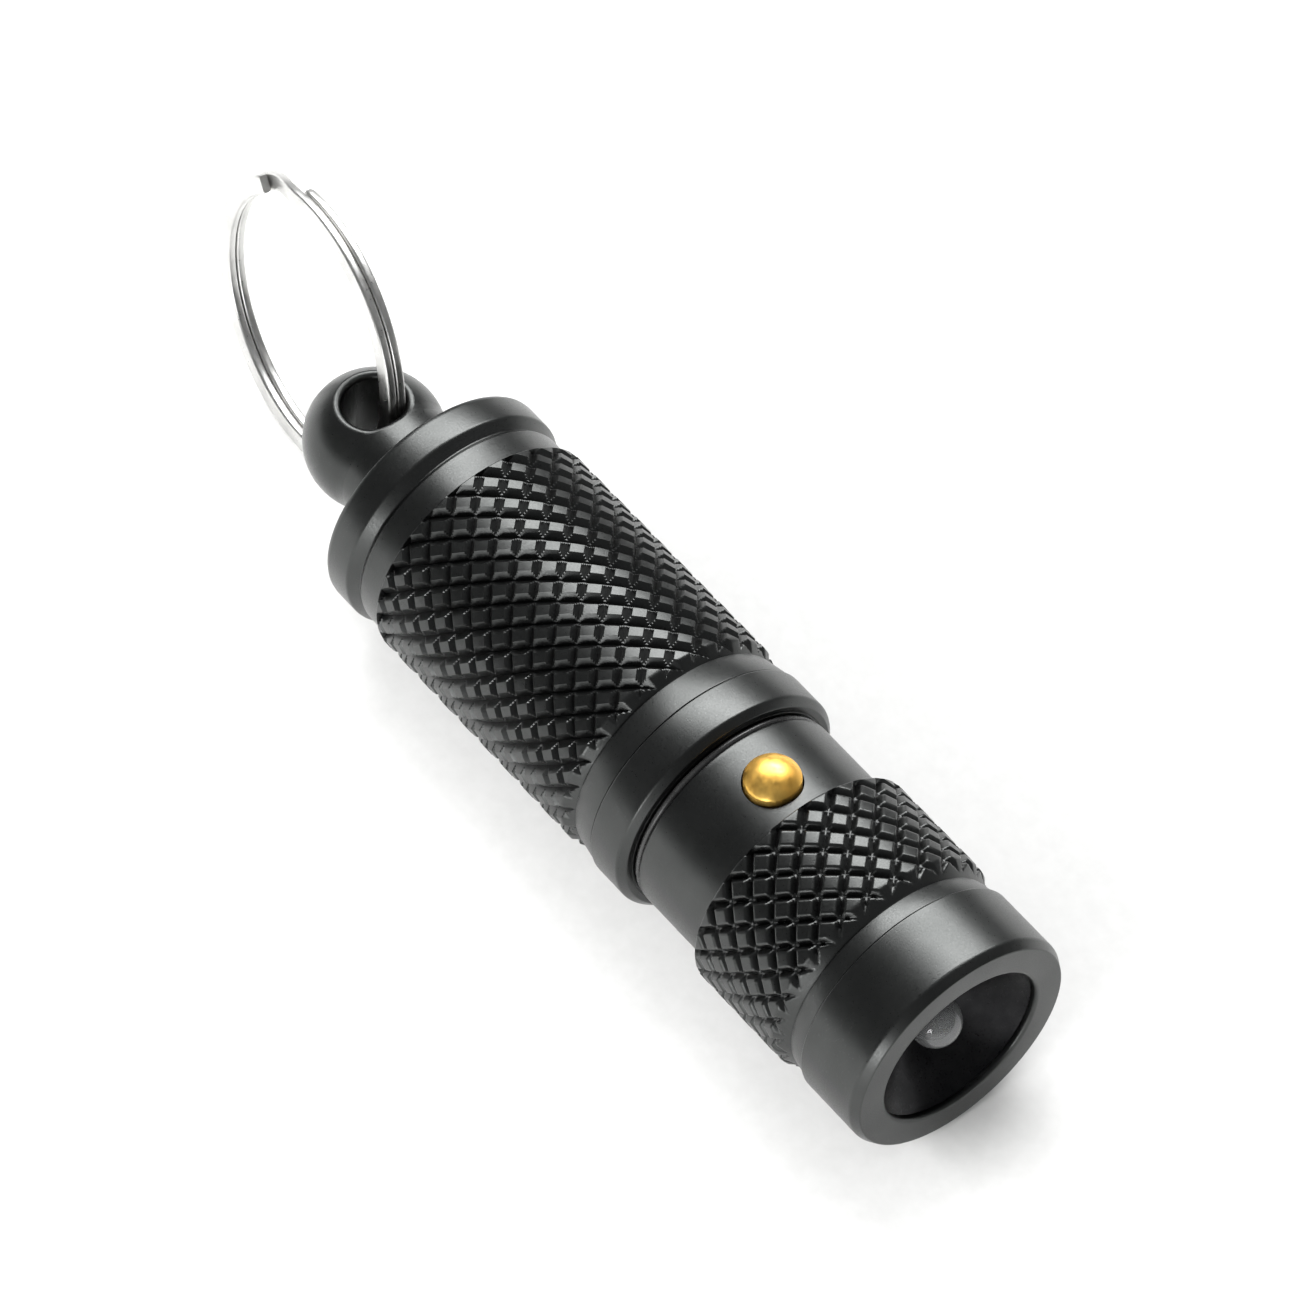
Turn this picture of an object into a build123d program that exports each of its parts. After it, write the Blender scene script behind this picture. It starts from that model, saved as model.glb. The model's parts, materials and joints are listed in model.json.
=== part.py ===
from build123d import *
import math
import os

# Keychain flashlight: a turned aluminium light with a push button and a ball lug for its split ring.
# The frame's origin is the centre of the bezel's front face. +X is the way the beam leaves, so every
# station along the light is negative, and +Z is the side of the button and of the lug's upper mouth.

# Outside of the light: stations along X and radii about it
bezel_radius = 7.3
bezel_rear = -4.7
bezel_chamfer_length = 0.55
bezel_chamfer_height = 0.3
lip_radius = 5.2
lip_rounding = 0.25
lip_rear = -0.45

head_ring_front_radius = 7.16
head_ring_rear_radius = 6.95
head_ring_rear = -5.95
knurl_radius_head = 7.46
knurl_slope_head = -6.9
knurl_rear_head = -13.66
neck_radius = 6.71
neck_rear = -19.55
neck_chamfer = 0.2
groove_radius_head = 6.75

collar_radius = 7.52
collar_front = -20.05
collar_rear = -22.73
collar_chamfer = 0.42
tube_ring_front_radius = 7.44
tube_ring_rear_radius = 7.1
tube_ring_rear = -24.6
groove_radius_tube = 6.85
knurl_radius_tube = 7.48
knurl_slope_tube = -25.35
knurl_rear_tube = -42.15
tail_collar_radius = 7.13
tail_collar_rear = -44.0
flange_radius = 7.475
flange_front = -44.9
flange_rear = -46.9
flange_rounding = 0.4
seam = 0.08

# Lug and split ring
ball_station = -52.1
ball_radius = 4.15
ball_neck_radius = 3.8
ball_neck_rounding = 1.5
lug_hole_radius = 1.85
lug_hole_rounding = 0.3
stud_radius = 1.5
ring_outer_radius = 9.15
ring_width = 1.15
coil_thickness = 0.55
coil_gap = 0.05
ring_centre = (-59.83, 1.33, 1.67)
ring_yaw = 5.2
ring_lean = 9.2
coil_end_angle = -105
jog_angle = 26
jog_sections = 7
wire_rounding = 0.13

# Bores and inside stack
thread_bore_radius = 6.3
shank_radius = 6.24
shank_rear = -23.0
thread_bore_rear = -23.4
cell_bore_radius = 6.05
tube_floor = -46.0
seal_seat_radius = 6.0
seal_seat_rear = -20.2
module_bore_radius = 5.35
module_radius = 5.3
spigot_bore_radius = 6.15
spigot_radius = 6.12
spigot_rear = -7.2
spigot_gap = 0.2
seal_gap = 0.03
seal_height = 0.62

# Button cells
cell_radius = 5.8
cell_height = 5.4
cell_count = 4
cell_stack_rear = -44.8
can_wall = 0.25
cell_face = 0.3
gasket_wall = 0.25
can_step = 0.55
gasket_step = 0.35
can_rounding = 0.15
cap_rounding = 0.2
cap_radius = cell_radius - can_wall - gasket_wall

# Light source
led_radius = 1.5
led_dome_centre = -2.2
led_flange_radius = 1.75
led_flange_front = -5.6
led_flange_rear = -6.4
led_pocket_radius = 0.7
led_pocket_front = -3.2
led_cup_radius = 0.6
led_cup_front = -3.3
led_cup_mouth_radius = 0.52
led_cup_floor = -3.7
led_cup_floor_radius = 0.3
led_die_size = 0.38
led_die_height = 0.2
led_die_rounding = 0.05
led_clearance = 0.06
throat_clearance = 0.2
lead_radius = 0.22
lead_spread = 1.27
lead_bend_station = -9.0
lead_bend = 0.4
lead_hole_clearance = 0.08
lead_slot_margin = 0.5
reflector_throat = -4.6

# Button and switch
button_station = -16.3
button_radius = 1.62
button_hole_radius = 1.72
button_rim = 7.0
button_top = 7.85
button_flange_radius = 2.3
button_flange_bottom = 4.05
button_flange_top = 4.65
board_bottom = 1.0
board_top = 1.8
board_rear = -20.9
board_front = -7.9
board_half_width = 4.6
board_rounding = 0.4
switch_size = 3.4
switch_top = 2.8
switch_cover_top = 3.05
switch_pocket = 2.05
actuator_radius = 0.8
actuator_bottom = 2.5
actuator_clearance = 0.1
cover_clearance = 0.15
cover_overhang = 0.1
cover_rounding = 0.3
terminal_inset = 0.8
terminal_width = 0.5
terminal_length = 0.5
terminal_thickness = 0.2
gasket_thickness = 0.15

# Module behind the light source
holder_rear = -7.6
carrier_rear = -21.1
plate_rear = -21.9
retainer_rear = -22.9
retainer_opening = 3.6
key_hole_offset = 4.5
key_hole_radius = 0.45
resistor_place = (-11.6, 1.8)
resistor_length = 2.0
resistor_width = 1.2
resistor_height = 0.55
strip_thickness = 0.2
strip_height = 1.8
strip_foot = 1.6
strip_half_width = 0.75

# Springs and contacts
contact_wire = 0.15
tail_plate_thickness = 0.25
tail_plate_gap = 0.5
tail_coil_start = 0.42
tail_coil_length = 0.6
tail_coil_radius = 2.8
tail_coil_turns = 1.5
front_coil_start = 0.17
front_coil_length = 0.94
front_coil_radius = 2.0
front_coil_turns = 2.25
spring_wire = 0.1
button_coil_radius = 1.35
button_coil_turns = 1.75

# Small clearances
slip = 0.02
loose = 0.05
sleeve_clearance = 0.08


def section(*points):
    """Closed outline of (station, radius) points in the XZ plane."""
    with BuildSketch(Plane.XZ) as drawing:
        with BuildLine():
            Polyline(*points, close=True)
        make_face()
    return drawing.sketch


def circle_near(shape, station, radius):
    """The circular edges of a turned part at one station and radius."""
    edges = shape.edges().filter_by(GeomType.CIRCLE)
    at_radius = edges.filter_by(lambda edge: abs(edge.radius - radius) < 0.001)
    return at_radius.filter_by(lambda edge: abs(edge.arc_center.X - station) < 0.001)


def coil_line(start, direction, length, radius, turns):
    """Centre line of a round spring that starts at a point and winds along a direction."""
    with BuildLine() as coil:
        Helix(
            pitch=length / turns,
            height=length,
            radius=radius,
            center=start,
            direction=direction,
        )
    return coil.line


def save(part, name):
    """Labels a finished piece and writes it as one STEP file."""
    part.label = name
    export_step(part, f"parts/{name}.step")


os.makedirs("parts", exist_ok=True)

# --- Barrel: tube, collar, lug and what stays in the tube ---

with BuildPart() as battery_tube:
    outline = section(
        (flange_rear, stud_radius),
        (flange_rear, flange_radius),
        (flange_front, flange_radius),
        (tail_collar_rear, tail_collar_radius),
        (knurl_rear_tube, tail_collar_radius),
        (knurl_rear_tube, knurl_radius_tube),
        (knurl_slope_tube, knurl_radius_tube),
        (tube_ring_rear, groove_radius_tube),
        (tube_ring_rear, tube_ring_rear_radius),
        (collar_rear - seam, tube_ring_front_radius),
        (collar_rear, tube_ring_front_radius - seam),
        (collar_rear, neck_radius),
        (collar_front, neck_radius),
        (collar_front, thread_bore_radius),
        (thread_bore_rear, thread_bore_radius),
        (thread_bore_rear, cell_bore_radius),
        (tube_floor, cell_bore_radius),
        (tube_floor, stud_radius),
    )
    revolve(outline, axis=Axis.X)
    fillet(circle_near(battery_tube, flange_rear, flange_radius), flange_rounding)
save(battery_tube.part, "battery_tube")

with BuildPart() as grip_collar:
    outline = section(
        (collar_rear, neck_radius + slip),
        (collar_rear, collar_radius - seam),
        (collar_rear + seam, collar_radius),
        (collar_front - collar_chamfer, collar_radius),
        (collar_front, collar_radius - collar_chamfer),
        (collar_front, neck_radius + slip),
    )
    revolve(outline, axis=Axis.X)
save(grip_collar.part, "grip_collar")

with BuildPart() as tail_ball:
    with BuildSketch(Plane.XZ):
        with BuildLine():
            CenterArc((ball_station, 0), ball_radius, 0, 180)
            Line((ball_station - ball_radius, 0), (ball_station + ball_radius, 0))
        make_face()
    revolve(axis=Axis.X)
    revolve(
        section(
            (ball_station, 0),
            (ball_station, ball_neck_radius),
            (flange_rear, ball_neck_radius),
            (flange_rear, stud_radius),
            (tube_floor, stud_radius),
            (tube_floor, 0),
        ),
        axis=Axis.X,
    )
    meeting_station = ball_station + math.sqrt(ball_radius**2 - ball_neck_radius**2)
    fillet(circle_near(tail_ball, meeting_station, ball_neck_radius), ball_neck_rounding)
    with Locations((ball_station, 0, 0)):
        Hole(lug_hole_radius)
    walls = tail_ball.faces().filter_by(GeomType.CYLINDER)
    hole_wall = walls.filter_by(lambda face: abs(face.radius - lug_hole_radius) < 0.001)
    fillet(hole_wall.edges().filter_by(GeomType.LINE, reverse=True), lug_hole_rounding)
save(tail_ball.part, "tail_ball")

with BuildPart() as tail_contact_plate:
    with BuildSketch(Plane.YZ.offset(tube_floor)):
        Circle(cell_bore_radius - tail_plate_gap)
    extrude(amount=tail_plate_thickness)
save(tail_contact_plate.part, "tail_contact_plate")

with BuildPart() as tail_spring:
    spring_line = coil_line(
        (tube_floor + tail_coil_start, 0, 0),
        (1, 0, 0),
        tail_coil_length,
        tail_coil_radius,
        tail_coil_turns,
    )
    with BuildSketch(Plane(origin=spring_line @ 0, z_dir=spring_line % 0)):
        Circle(contact_wire)
    sweep(path=spring_line)
save(tail_spring.part, "tail_spring")

with BuildPart() as insulator_sleeve:
    with BuildSketch(Plane.YZ.offset(cell_stack_rear)):
        Circle(cell_bore_radius - slip)
        Circle(cell_radius + sleeve_clearance, mode=Mode.SUBTRACT)
    extrude(amount=thread_bore_rear - loose - cell_stack_rear)
save(insulator_sleeve.part, "insulator_sleeve")

for number in range(cell_count):
    rear = cell_stack_rear + number * cell_height
    front = rear + cell_height
    can_rear = rear + can_step
    gasket_rear = rear + gasket_step
    chamber = front - cell_face

    with BuildPart() as cell_can:
        outline = section(
            (can_rear, cell_radius - can_wall),
            (can_rear, cell_radius),
            (front, cell_radius),
            (front, 0),
            (chamber, 0),
            (chamber, cell_radius - can_wall),
        )
        revolve(outline, axis=Axis.X)
        fillet(circle_near(cell_can, front, cell_radius), can_rounding)
    save(cell_can.part, f"cell_{number + 1}_can")

    with BuildPart() as cell_gasket:
        with BuildSketch(Plane.YZ.offset(gasket_rear)):
            Circle(cell_radius - can_wall)
            Circle(cap_radius, mode=Mode.SUBTRACT)
        extrude(amount=chamber - gasket_rear)
    save(cell_gasket.part, f"cell_{number + 1}_gasket")

    with BuildPart() as cell_cap:
        outline = section(
            (rear, 0),
            (rear, cap_radius),
            (chamber, cap_radius),
            (chamber, cap_radius - can_wall),
            (rear + cell_face, cap_radius - can_wall),
            (rear + cell_face, 0),
        )
        revolve(outline, axis=Axis.X)
        fillet(circle_near(cell_cap, rear, cap_radius), cap_rounding)
    save(cell_cap.part, f"cell_{number + 1}_cap")

    with BuildPart() as cell_core:
        with BuildSketch(Plane.YZ.offset(rear + cell_face)):
            Circle(cap_radius - can_wall)
        extrude(amount=cell_height - 2 * cell_face)
    save(cell_core.part, f"cell_{number + 1}_core")

# --- Seal: the O-ring that rides up the thread with the head ---

with BuildPart() as head_seal:
    seal_width = neck_rear - collar_front - 2 * seal_gap
    seal_middle = seal_seat_radius + seal_height / 2 + slip
    with BuildSketch(Plane.XZ):
        with Locations(((neck_rear + collar_front) / 2, seal_middle)):
            Ellipse(seal_height / 2, seal_width / 2, rotation=90)
    revolve(axis=Axis.X)
save(head_seal.part, "head_seal")

# --- Head: shell, bezel, light source and switch module ---

with BuildPart() as head_shell:
    outline = section(
        (shank_rear, module_bore_radius),
        (shank_rear, shank_radius),
        (seal_seat_rear, shank_radius),
        (seal_seat_rear, seal_seat_radius),
        (neck_rear, seal_seat_radius),
        (neck_rear, neck_radius - neck_chamfer),
        (neck_rear + neck_chamfer, neck_radius),
        (knurl_rear_head, neck_radius),
        (knurl_rear_head, knurl_radius_head),
        (knurl_slope_head, knurl_radius_head),
        (head_ring_rear, groove_radius_head),
        (head_ring_rear, head_ring_rear_radius),
        (bezel_rear - seam, head_ring_front_radius),
        (bezel_rear, head_ring_front_radius - seam),
        (bezel_rear, spigot_bore_radius),
        (spigot_rear - spigot_gap, spigot_bore_radius),
        (spigot_rear - spigot_gap, module_bore_radius),
    )
    revolve(outline, axis=Axis.X)
    with BuildSketch(Plane((button_station, 0, 0))):
        Circle(button_hole_radius)
    extrude(amount=bezel_radius, mode=Mode.SUBTRACT)
save(head_shell.part, "head_shell")

with BuildPart() as bezel_ring:
    outline = section(
        (bezel_rear, spigot_radius),
        (bezel_rear, bezel_radius - seam),
        (bezel_rear + seam, bezel_radius),
        (-bezel_chamfer_length, bezel_radius),
        (0, bezel_radius - bezel_chamfer_height),
        (0, lip_radius),
        (lip_rear, lip_radius),
        (lip_rear, module_bore_radius + loose),
        (spigot_rear, module_bore_radius + loose),
        (spigot_rear, spigot_radius),
    )
    revolve(outline, axis=Axis.X)
    fillet(circle_near(bezel_ring, 0, lip_radius), lip_rounding)
save(bezel_ring.part, "bezel_ring")

with BuildPart() as reflector:
    outline = section(
        (lip_rear - slip, module_bore_radius),
        (lip_rear - slip, lip_radius - loose),
        (reflector_throat, led_radius + throat_clearance),
        (reflector_throat, led_radius + led_clearance),
        (led_flange_front, led_radius + led_clearance),
        (led_flange_front, module_bore_radius),
    )
    revolve(outline, axis=Axis.X)
save(reflector.part, "reflector")

with BuildPart() as led_lens:
    with BuildSketch(Plane.XZ):
        with BuildLine():
            CenterArc((led_dome_centre, 0), led_radius, 0, 90)
            Polyline(
                (led_dome_centre, led_radius),
                (led_flange_front, led_radius),
                (led_flange_front, led_flange_radius),
                (led_flange_rear, led_flange_radius),
                (led_flange_rear, led_pocket_radius),
                (led_pocket_front, led_pocket_radius),
                (led_pocket_front, 0),
                (led_dome_centre + led_radius, 0),
            )
        make_face()
    revolve(axis=Axis.X)
save(led_lens.part, "led_lens")

with BuildPart() as led_frame:
    outline = section(
        (led_flange_rear, 0),
        (led_flange_rear, led_cup_radius),
        (led_cup_front, led_cup_radius),
        (led_cup_front, led_cup_mouth_radius),
        (led_cup_floor, led_cup_floor_radius),
        (led_cup_floor, 0),
    )
    revolve(outline, axis=Axis.X)
save(led_frame.part, "led_frame")

with BuildPart() as led_die:
    with BuildSketch(Plane.YZ.offset(led_cup_floor)):
        RectangleRounded(led_die_size, led_die_size, led_die_rounding)
    extrude(amount=led_die_height)
save(led_die.part, "led_die")

with BuildPart() as led_leads:
    for side in (-1, 1):
        with BuildLine() as lead:
            run = Line(
                (led_flange_rear, side * lead_spread, 0),
                (lead_bend_station + lead_bend, side * lead_spread, 0),
            )
            bend = TangentArc(
                run @ 1,
                (lead_bend_station, side * lead_spread, lead_bend),
                tangent=run % 1,
            )
            Line(bend @ 1, (lead_bend_station, side * lead_spread, board_bottom))
        with BuildSketch(Plane(origin=run @ 0, z_dir=run % 0)):
            Circle(lead_radius)
        sweep(path=lead.line)
save(led_leads.part, "led_leads")

with BuildPart() as led_holder:
    revolve(
        section(
            (holder_rear, 0),
            (holder_rear, module_radius),
            (led_flange_front, module_radius),
            (led_flange_front, led_flange_radius + loose),
            (led_flange_rear, led_flange_radius + loose),
            (led_flange_rear, 0),
        ),
        axis=Axis.X,
    )
    with BuildSketch(Plane.YZ.offset(holder_rear)):
        with Locations((-lead_spread, 0), (lead_spread, 0)):
            Circle(lead_radius + lead_hole_clearance)
    extrude(amount=led_flange_rear - holder_rear, mode=Mode.SUBTRACT)
save(led_holder.part, "led_holder")

with BuildPart() as module_carrier:
    with BuildSketch(Plane.YZ.offset(carrier_rear)):
        Circle(module_radius)
        with Locations((0, board_bottom)):
            Rectangle(
                2 * module_radius,
                module_radius,
                align=(Align.CENTER, Align.MIN),
                mode=Mode.SUBTRACT,
            )
    extrude(amount=holder_rear - carrier_rear)
    with BuildSketch(Plane.YZ.offset(lead_bend_station - lead_slot_margin)):
        with Locations((0, board_bottom)):
            Rectangle(
                2 * (lead_spread + lead_slot_margin),
                board_bottom + lead_slot_margin,
                align=(Align.CENTER, Align.MAX),
            )
    extrude(amount=holder_rear - lead_bend_station + lead_slot_margin, mode=Mode.SUBTRACT)
save(module_carrier.part, "module_carrier")

with BuildPart() as switch_board:
    with BuildSketch(Plane.XY.offset(board_bottom)):
        with Locations(((board_rear + board_front) / 2, 0)):
            RectangleRounded(board_front - board_rear, 2 * board_half_width, board_rounding)
    extrude(amount=board_top - board_bottom)
save(switch_board.part, "switch_board")

with BuildPart() as switch_base:
    with BuildSketch(Plane((button_station, 0, board_top))):
        Rectangle(switch_size, switch_size)
    extrude(amount=switch_top - board_top)
    with BuildSketch(Plane((button_station, 0, switch_pocket))):
        Circle(actuator_radius + actuator_clearance)
    extrude(amount=switch_top - switch_pocket, mode=Mode.SUBTRACT)
save(switch_base.part, "switch_base")

with BuildPart() as switch_terminals:
    with BuildSketch(Plane((button_station, 0, board_top))):
        with GridLocations(switch_size - terminal_inset, switch_size + terminal_length, 2, 2):
            Rectangle(terminal_width, terminal_length)
    extrude(amount=terminal_thickness)
save(switch_terminals.part, "switch_terminals")

with BuildPart() as switch_cover:
    with BuildSketch(Plane((button_station, 0, switch_top))):
        RectangleRounded(switch_size + cover_overhang, switch_size + cover_overhang, cover_rounding)
        Circle(actuator_radius + cover_clearance, mode=Mode.SUBTRACT)
    extrude(amount=switch_cover_top - switch_top)
save(switch_cover.part, "switch_cover")

with BuildPart() as resistor:
    with BuildSketch(Plane((*resistor_place, board_top))):
        Rectangle(resistor_length, resistor_width)
    extrude(amount=resistor_height)
save(resistor.part, "resistor")

with BuildPart() as contact_plate:
    with BuildSketch(Plane.YZ.offset(plate_rear)):
        Circle(module_radius)
    extrude(amount=carrier_rear - plate_rear)
save(contact_plate.part, "contact_plate")

with BuildPart() as contact_strip:
    with BuildSketch(Plane.XZ):
        with BuildLine():
            Polyline(
                (carrier_rear, board_top),
                (carrier_rear, board_top + strip_height),
                (carrier_rear + strip_thickness, board_top + strip_height),
                (carrier_rear + strip_thickness, board_top + strip_thickness),
                (carrier_rear + strip_foot, board_top + strip_thickness),
                (carrier_rear + strip_foot, board_top),
                close=True,
            )
        make_face()
    extrude(amount=strip_half_width, both=True)
save(contact_strip.part, "contact_strip")

with BuildPart() as contact_spring:
    spring_line = coil_line(
        (plate_rear - front_coil_start, 0, 0),
        (-1, 0, 0),
        front_coil_length,
        front_coil_radius,
        front_coil_turns,
    )
    with BuildSketch(Plane(origin=spring_line @ 0, z_dir=spring_line % 0)):
        Circle(contact_wire)
    sweep(path=spring_line)
save(contact_spring.part, "contact_spring")

with BuildPart() as module_retainer:
    with BuildSketch(Plane.YZ.offset(retainer_rear)):
        Circle(module_bore_radius - slip)
        Circle(retainer_opening, mode=Mode.SUBTRACT)
        with Locations((-key_hole_offset, 0), (key_hole_offset, 0)):
            Circle(key_hole_radius, mode=Mode.SUBTRACT)
    extrude(amount=plate_rear - retainer_rear)
save(module_retainer.part, "module_retainer")

# --- Button: dome, gasket, actuator and its return spring ---

with BuildPart() as button:
    dome_height = button_top - button_rim
    dome_radius = (button_radius**2 + dome_height**2) / (2 * dome_height)
    with BuildSketch(Plane.XZ):
        with BuildLine():
            Polyline(
                (button_station, button_top),
                (button_station, button_flange_bottom),
                (button_station + button_flange_radius, button_flange_bottom),
                (button_station + button_flange_radius, button_flange_top),
                (button_station + button_radius, button_flange_top),
                (button_station + button_radius, button_rim),
            )
            RadiusArc(
                (button_station, button_top),
                (button_station + button_radius, button_rim),
                dome_radius,
            )
        make_face()
    revolve(axis=Axis((button_station, 0, 0), (0, 0, 1)))
save(button.part, "button")

with BuildPart() as button_gasket:
    with BuildSketch(Plane((button_station, 0, button_flange_top))):
        Circle(button_flange_radius - loose)
        Circle(button_radius + slip, mode=Mode.SUBTRACT)
    extrude(amount=gasket_thickness)
save(button_gasket.part, "button_gasket")

with BuildPart() as switch_actuator:
    with BuildSketch(Plane((button_station, 0, actuator_bottom))):
        Circle(actuator_radius)
    extrude(amount=button_flange_bottom - actuator_bottom)
save(switch_actuator.part, "switch_actuator")

with BuildPart() as button_spring:
    free_height = button_flange_bottom - switch_cover_top - 2 * spring_wire - slip
    spring_foot = (button_station, 0, switch_cover_top + spring_wire + slip / 2)
    spring_line = coil_line(
        spring_foot, (0, 0, 1), free_height, button_coil_radius, button_coil_turns
    )
    with BuildSketch(Plane(origin=spring_line @ 0, z_dir=spring_line % 0)):
        Circle(spring_wire)
    sweep(path=spring_line)
save(button_spring.part, "button_spring")

# --- Ring: two flat coils joined by one short jog, as in every split ring ---

yaw = math.radians(ring_yaw)
lean = math.radians(ring_lean)
ring_plane = Plane(
    origin=ring_centre,
    x_dir=(math.cos(yaw), -math.sin(yaw) * math.cos(lean), math.sin(yaw) * math.sin(lean)),
    z_dir=(math.sin(yaw), math.cos(yaw) * math.cos(lean), -math.cos(yaw) * math.sin(lean)),
)
ring_axis = Axis(ring_plane.origin, ring_plane.z_dir)
coil_rise = coil_thickness + coil_gap


def wire_section(angle, rise):
    """The wire's rounded section at an angle round the ring, raised along the ring's axis."""
    turn = math.radians(angle)
    radial = ring_plane.x_dir * math.cos(turn) + ring_plane.y_dir * math.sin(turn)
    tangent = ring_plane.z_dir.cross(radial)
    middle = radial * (ring_outer_radius - ring_width / 2) + ring_plane.z_dir * rise
    with BuildSketch(Plane(ring_plane.origin + middle, x_dir=radial, z_dir=-tangent)) as drawing:
        RectangleRounded(ring_width, coil_thickness, wire_rounding)
    return drawing.sketch


with BuildPart() as split_ring:
    coil_sweep = 360 - jog_angle
    jog_start = coil_end_angle - jog_angle
    revolve(wire_section(coil_end_angle, -coil_rise / 2), axis=ring_axis, revolution_arc=coil_sweep)
    revolve(wire_section(coil_end_angle, coil_rise / 2), axis=ring_axis, revolution_arc=coil_sweep)
    steps = [step / (jog_sections - 1) for step in range(jog_sections)]
    jog = [
        wire_section(jog_start + jog_angle * s, coil_rise / 2 * math.cos(math.pi * s)) for s in steps
    ]
    loft(jog)
save(split_ring.part, "split_ring")
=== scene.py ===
import json
import math

import bmesh
import bpy
import numpy as np
from mathutils import Matrix, Vector


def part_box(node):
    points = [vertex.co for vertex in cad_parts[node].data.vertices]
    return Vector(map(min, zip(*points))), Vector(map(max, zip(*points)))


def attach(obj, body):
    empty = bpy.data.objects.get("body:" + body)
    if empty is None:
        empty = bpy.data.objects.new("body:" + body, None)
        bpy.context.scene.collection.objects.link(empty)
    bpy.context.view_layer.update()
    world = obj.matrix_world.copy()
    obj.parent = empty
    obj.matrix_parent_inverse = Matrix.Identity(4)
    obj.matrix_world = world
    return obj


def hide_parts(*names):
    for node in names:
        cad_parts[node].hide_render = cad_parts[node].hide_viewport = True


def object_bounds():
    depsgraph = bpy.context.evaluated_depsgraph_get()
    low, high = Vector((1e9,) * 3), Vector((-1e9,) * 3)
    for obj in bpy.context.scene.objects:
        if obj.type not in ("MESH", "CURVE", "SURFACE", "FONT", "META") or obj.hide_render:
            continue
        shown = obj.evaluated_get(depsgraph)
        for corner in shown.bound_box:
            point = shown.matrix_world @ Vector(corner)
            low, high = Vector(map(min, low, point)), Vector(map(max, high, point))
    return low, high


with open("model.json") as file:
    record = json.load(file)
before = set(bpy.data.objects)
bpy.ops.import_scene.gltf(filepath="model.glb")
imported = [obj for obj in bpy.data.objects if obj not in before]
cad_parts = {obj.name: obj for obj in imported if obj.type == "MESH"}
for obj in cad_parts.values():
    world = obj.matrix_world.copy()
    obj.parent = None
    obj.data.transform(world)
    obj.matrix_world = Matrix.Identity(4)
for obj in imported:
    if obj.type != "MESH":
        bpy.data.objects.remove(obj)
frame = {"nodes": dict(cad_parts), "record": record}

# Keychain flashlight lying on its side. The origin is the centre of the bezel's front face, +X is the
# way the beam leaves and +Z is the button's side, so stations along the light are negative.

MM = 0.001
cad_low, cad_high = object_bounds()
nodes = frame["nodes"]
scene = bpy.context.scene


def radius_of(node):
    """Outside radius of a turned CAD node, in millimetres."""
    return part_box(node)[1].z / MM


def rear_of(node):
    """Station of a CAD node's rear end, in millimetres."""
    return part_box(node)[0].x / MM


def front_of(node):
    """Station of a CAD node's front end, in millimetres."""
    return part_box(node)[1].x / MM


# --- Sizes in millimetres: stations along X, radii about it ---

# Bezel and cone
bezel_radius = radius_of("bezel_ring")
bezel_rear = -4.7
bezel_skirt_rear = rear_of("bezel_ring")
bezel_skirt_radius = 6.12
bezel_bore = 5.4
bezel_gap = 0.05
bezel_chamfer_rear = -0.55
bezel_chamfer_height = 0.3
lip_radius = 5.2
lip_rear = -0.45
cone_steps = 14
cone_step_length = 0.02
cone_step_height = 0.03
cone_gap = 0.005
skirt_lead_in = 0.15

# Head
head_front_radius = 7.16
head_ring_rear = -5.95
head_ring_rear_radius = 6.95
head_groove_radius = 6.75
head_crest = radius_of("head_shell")
head_slope = -6.9
head_knurl_rear = -13.66
neck_radius = 6.71
neck_rear = -19.55
neck_land = 0.4
neck_margin = 0.2
seal_seat_radius = 6.0
seal_seat_rear = -20.2
shank_radius = 6.24
shank_rear = rear_of("head_shell")
shank_lead_in = 0.25
seal_half_height = 0.31
module_bore = 5.35
spigot_bore = 6.15
spigot_bore_rear = -7.4

# Collar and tube
collar_radius = radius_of("grip_collar")
collar_front = front_of("grip_collar")
collar_rear = rear_of("grip_collar")
collar_chamfer = 0.42
collar_gap = 0.05
tube_ring_front_radius = 7.44
tube_ring_rear = -24.6
tube_ring_rear_radius = 7.1
tube_groove_radius = 6.85
tube_crest = radius_of("battery_tube")
tube_slope = -25.35
tube_knurl_rear = -42.15
tail_collar_radius = 7.13
tail_collar_rear = -44.0
tail_groove = -44.25
tail_groove_radius = 6.96
flange_front = -44.9
flange_rear = rear_of("battery_tube")
flange_radius = 7.475
cell_bore = 6.05
mouth_bore = 6.3
mouth_rear = -23.4
tube_floor = -46.0
stud_radius = 1.5

# Threads and knurls, with groove half widths in pitches
thread_pitch = 0.75
thread_depth = 0.26
bezel_thread_depth = 0.2
thread_runout = 0.3
thread_flank = 1.4
thread_root = 0.2
knurl_starts = 24
knurl_pitch = 1.85
facets_per_cell = 14
narrow_groove = 3 / facets_per_cell
wide_groove = 4 / facets_per_cell
head_groove_depth = 0.4
tube_left_depth = 0.46
tube_right_depth = 0.345
knurl_setback = 0.06
knurl_end_foot = 0.12
knurl_end_crest = 0.04

# How finely the meshes are made
around = knurl_starts * facets_per_cell
grip_step = knurl_pitch / facets_per_cell
thread_step = thread_pitch / 10
neck_step = 0.25
fine_segments = 192
round_segments = 144
small_segments = 96
dome_steps = 20
crown_steps = 18
sharp_degrees = 28
merge_distance = 1e-6 * MM

# Clearance between pieces that slide into each other
slip = 0.02

# Light dome
led_radius = 1.5
led_dome_centre = -2.2
led_flange_radius = 1.75
led_flange_front = -5.6
led_flange_rear = -6.4
led_pocket_radius = 0.7
led_pocket_front = -3.2
reflector_throat = -4.6
throat_radius = 1.7
led_clearance = 0.06

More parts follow.
